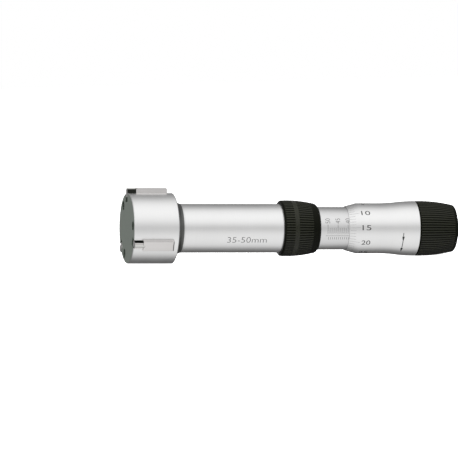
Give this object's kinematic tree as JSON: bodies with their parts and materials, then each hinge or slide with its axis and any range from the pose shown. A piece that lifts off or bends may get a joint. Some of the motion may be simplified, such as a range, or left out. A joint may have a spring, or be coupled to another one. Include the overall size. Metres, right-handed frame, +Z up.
{
  "type": "inside micrometer",
  "caption": "Inside micrometer for bores: a cone pushes sliding anvils out of a round head, read on a graduated sleeve and thimble, with fluted grips and a ratchet.",
  "frame": {"origin": "centre of the head's front face", "axes": "+X along the instrument's axis from the head to the ratchet grip, +Z up, lying on its side"},
  "size_m": [0.1649, 0.0358, 0.0365],
  "materials": {
    "satin_chrome": "satin chrome plate",
    "ground_face": "ground",
    "black_screw": "blackened",
    "bush_bronze": "turned",
    "black_flutes": "black anodised, fluted",
    "inner_steel": "turned",
    "sleeve_chrome": "satin chrome plate",
    "thimble_chrome": "satin chrome plate",
    "ground_steel": "ground",
    "spring_steel": "drawn",
    "anvil_steel": "ground",
    "hard_metal": "lapped",
    "black_cap": "black anodised, smooth"
  },
  "bodies": {
    "frame": {"head_body": "satin_chrome", "front_cover": "ground_face", "cover_screws": "black_screw", "front_bush": "bush_bronze", "rear_bush": "bush_bronze", "grip_collar": "black_flutes", "inner_barrel": "inner_steel", "graduated_sleeve": "sleeve_chrome", "adjusting_nut": "inner_steel"},
    "cone_rod": {"measuring_cone": "ground_steel", "cone_screw": "black_screw", "push_rod": "inner_steel", "stop_ring": "inner_steel", "return_spring": "spring_steel", "thrust_ball": "ground_steel"},
    "thimble": {"spindle": "inner_steel", "thimble": "thimble_chrome", "thimble_nut": "inner_steel", "ratchet_wheel": "inner_steel", "ratchet_screw": "inner_steel"},
    "ratchet": {"ratchet_grip": "black_flutes", "ratchet_plunger": "inner_steel", "ratchet_spring": "spring_steel", "end_cap": "black_cap"},
    "anvil_1": {"anvil_1": "anvil_steel", "measuring_pin_1": "hard_metal"},
    "anvil_2": {"anvil_2": "anvil_steel", "measuring_pin_2": "hard_metal"},
    "anvil_3": {"anvil_3": "anvil_steel", "measuring_pin_3": "hard_metal"}
  },
  "joints": [
    {"name": "cone_slide", "type": "slide", "parent": "frame", "child": "cone_rod", "axis": [-1, 0, 0], "range_m": [-0.00418, 0.01082], "deforming": ["return_spring"]},
    {"name": "thimble_turn", "type": "hinge", "parent": "cone_rod", "child": "thimble", "pos_m": [0, 0, 0], "axis": [-1, 0, 0], "range_deg": [-3010, 7791]},
    {"name": "ratchet_turn", "type": "hinge", "parent": "thimble", "child": "ratchet", "pos_m": [0, 0, 0], "axis": [-1, 0, 0], "continuous": true},
    {"name": "anvil_1_slide", "type": "slide", "parent": "frame", "child": "anvil_1", "axis": [0, 0.0785, 0.9969], "range_m": [-0.0021, 0.00542]},
    {"name": "anvil_2_slide", "type": "slide", "parent": "frame", "child": "anvil_2", "axis": [0, 0.8241, -0.5664], "range_m": [-0.0021, 0.00542]},
    {"name": "anvil_3_slide", "type": "slide", "parent": "frame", "child": "anvil_3", "axis": [0, -0.9026, -0.4305], "range_m": [-0.0021, 0.00542]}
  ],
  "couplings": [
    {"joint": "thimble_turn", "follows": "cone_slide", "rad_per_m": 12566},
    {"joint": "anvil_1_slide", "follows": "cone_slide", "ratio": 0.5},
    {"joint": "anvil_2_slide", "follows": "cone_slide", "ratio": 0.5},
    {"joint": "anvil_3_slide", "follows": "cone_slide", "ratio": 0.5}
  ]
}
